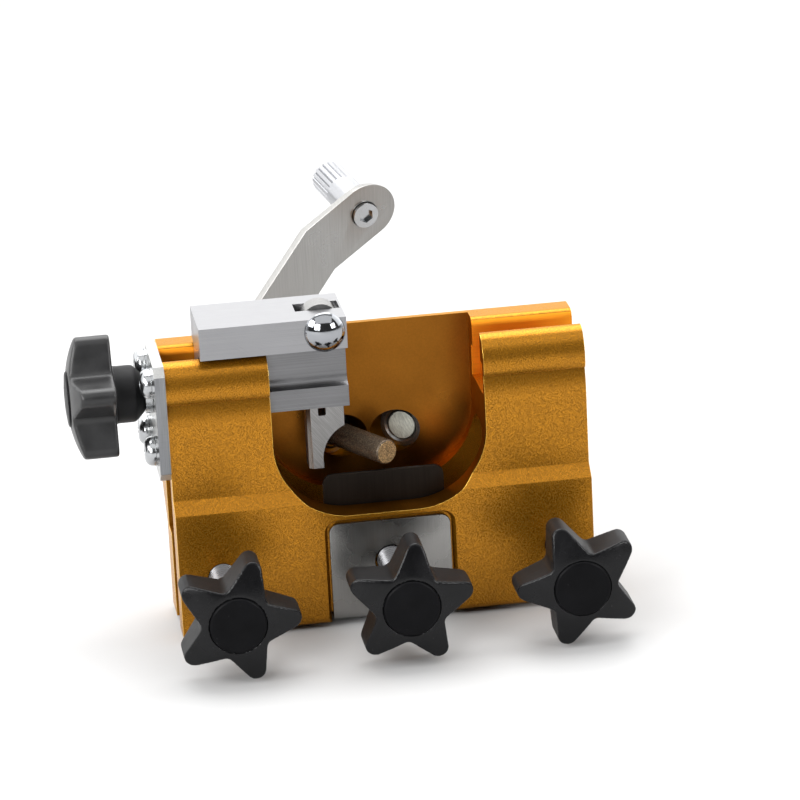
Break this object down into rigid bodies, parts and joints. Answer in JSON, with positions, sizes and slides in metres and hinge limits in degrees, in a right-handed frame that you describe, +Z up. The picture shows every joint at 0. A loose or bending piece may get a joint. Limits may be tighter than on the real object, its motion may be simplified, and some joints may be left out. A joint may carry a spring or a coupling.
{
  "type": "saw chain sharpening jig",
  "caption": "Clamp-on jig for saw chain teeth: extruded body that sits on a guide bar, screw-fed carriage with a swinging pawl, and a hand-cranked burr in an angled guide.",
  "frame": {"origin": "middle of the bar slot's mouth: on the guide bar's mid-plane, level with the bottom edges of the walls", "axes": "+X along the guide bar to the right, +Y to the back, +Z up out of the bar slot"},
  "size_m": [0.1084, 0.127, 0.0699],
  "materials": {
    "gold_alloy": "gold anodised, bead blasted",
    "plain_alloy": "satin, as extruded",
    "ground_steel": "ground",
    "zinc_steel": "bright zinc plated",
    "chrome_steel": "polished",
    "sheet_steel": "satin spring sheet",
    "black_plastic": "semi-matte moulded",
    "black_steel": "black oxide",
    "grit": "diamond grit",
    "brass": "turned"
  },
  "bodies": {
    "frame": {"body": "gold_alloy", "end_plate": "zinc_steel", "end_plate_screws": "zinc_steel", "end_plate_washers": "zinc_steel", "guide_bush_left": "black_steel", "guide_bush_right": "black_steel", "spring_clip": "sheet_steel"},
    "feed": {"feed_knob": "black_plastic", "feed_knob_cap": "black_plastic", "feed_screw": "zinc_steel", "feed_washer": "zinc_steel", "feed_ring": "black_steel"},
    "carriage": {"carriage_block": "plain_alloy", "pivot_bolt": "chrome_steel"},
    "pawl": {"pawl": "ground_steel"},
    "spindle_slider": {"spindle_washer": "black_plastic"},
    "crank": {"spindle": "ground_steel", "burr_head": "grit", "burr_shank": "ground_steel", "crank_hub": "ground_steel", "hub_set_screw": "black_steel", "crank_arm": "sheet_steel", "hub_screw": "zinc_steel"},
    "handle": {"crank_handle": "plain_alloy", "handle_screw": "zinc_steel"},
    "plug": {"bore_plug": "ground_steel"},
    "left_pad": {"left_clamp_pad": "brass"},
    "left_clamp": {"left_clamp_knob": "black_plastic", "left_clamp_cap": "black_plastic", "left_clamp_screw": "zinc_steel"},
    "middle_pad": {"middle_clamp_pad": "brass"},
    "middle_clamp": {"middle_clamp_knob": "black_plastic", "middle_clamp_cap": "black_plastic", "middle_clamp_screw": "zinc_steel"},
    "right_pad": {"right_clamp_pad": "brass"},
    "right_clamp": {"right_clamp_knob": "black_plastic", "right_clamp_cap": "black_plastic", "right_clamp_screw": "zinc_steel"}
  },
  "joints": [
    {"name": "carriage_feed", "type": "slide", "parent": "frame", "child": "carriage", "axis": [1, 0, 0], "range_m": [-0.0055, 0.0045]},
    {"name": "feed_turn", "type": "hinge", "parent": "frame", "child": "feed", "pos_m": [-0.045, 0, 0.0495], "axis": [1, 0, 0], "range_deg": [-1630, 1990]},
    {"name": "pawl_swing", "type": "hinge", "parent": "carriage", "child": "pawl", "pos_m": [-0.00997, 0, 0.06145], "axis": [0, -1, 0], "range_deg": [0, 8.5]},
    {"name": "spindle_slide", "type": "slide", "parent": "frame", "child": "spindle_slider", "axis": [-0.5, 0.866, 0], "range_m": [-0.01, 0.012]},
    {"name": "crank_turn", "type": "hinge", "parent": "spindle_slider", "child": "crank", "pos_m": [0, 0, 0.033], "axis": [-0.5, 0.866, 0], "continuous": true},
    {"name": "handle_turn", "type": "hinge", "parent": "crank", "child": "handle", "pos_m": [0.00898, 0.06749, 0.06262], "axis": [-0.2577, 0.9494, 0.1794], "continuous": true},
    {"name": "plug_pull", "type": "slide", "parent": "frame", "child": "plug", "axis": [0.5, 0.866, 0], "range_m": [0, 0.015]},
    {"name": "left_clamp_feed", "type": "slide", "parent": "frame", "child": "left_pad", "axis": [0, 1, 0], "range_m": [-0.004, 0.006]},
    {"name": "left_clamp_turn", "type": "hinge", "parent": "left_pad", "child": "left_clamp", "pos_m": [-0.0337, -0.02, 0.0124], "axis": [0, 1, 0], "range_deg": [-1450, 2170]},
    {"name": "middle_clamp_feed", "type": "slide", "parent": "frame", "child": "middle_pad", "axis": [0, 1, 0], "range_m": [-0.004, 0]},
    {"name": "middle_clamp_turn", "type": "hinge", "parent": "middle_pad", "child": "middle_clamp", "pos_m": [0.0008, -0.02, 0.0124], "axis": [0, 1, 0], "range_deg": [-1450, 10]},
    {"name": "right_clamp_feed", "type": "slide", "parent": "frame", "child": "right_pad", "axis": [0, 1, 0], "range_m": [-0.0055, 0.0045]},
    {"name": "right_clamp_turn", "type": "hinge", "parent": "right_pad", "child": "right_clamp", "pos_m": [0.0353, -0.02, 0.0124], "axis": [0, 1, 0], "range_deg": [-1990, 1630]}
  ],
  "couplings": [
    {"joint": "feed_turn", "follows": "carriage_feed", "rad_per_m": -6283.2},
    {"joint": "left_clamp_turn", "follows": "left_clamp_feed", "rad_per_m": 6283.2},
    {"joint": "middle_clamp_turn", "follows": "middle_clamp_feed", "rad_per_m": 6283.2},
    {"joint": "right_clamp_turn", "follows": "right_clamp_feed", "rad_per_m": 6283.2}
  ]
}
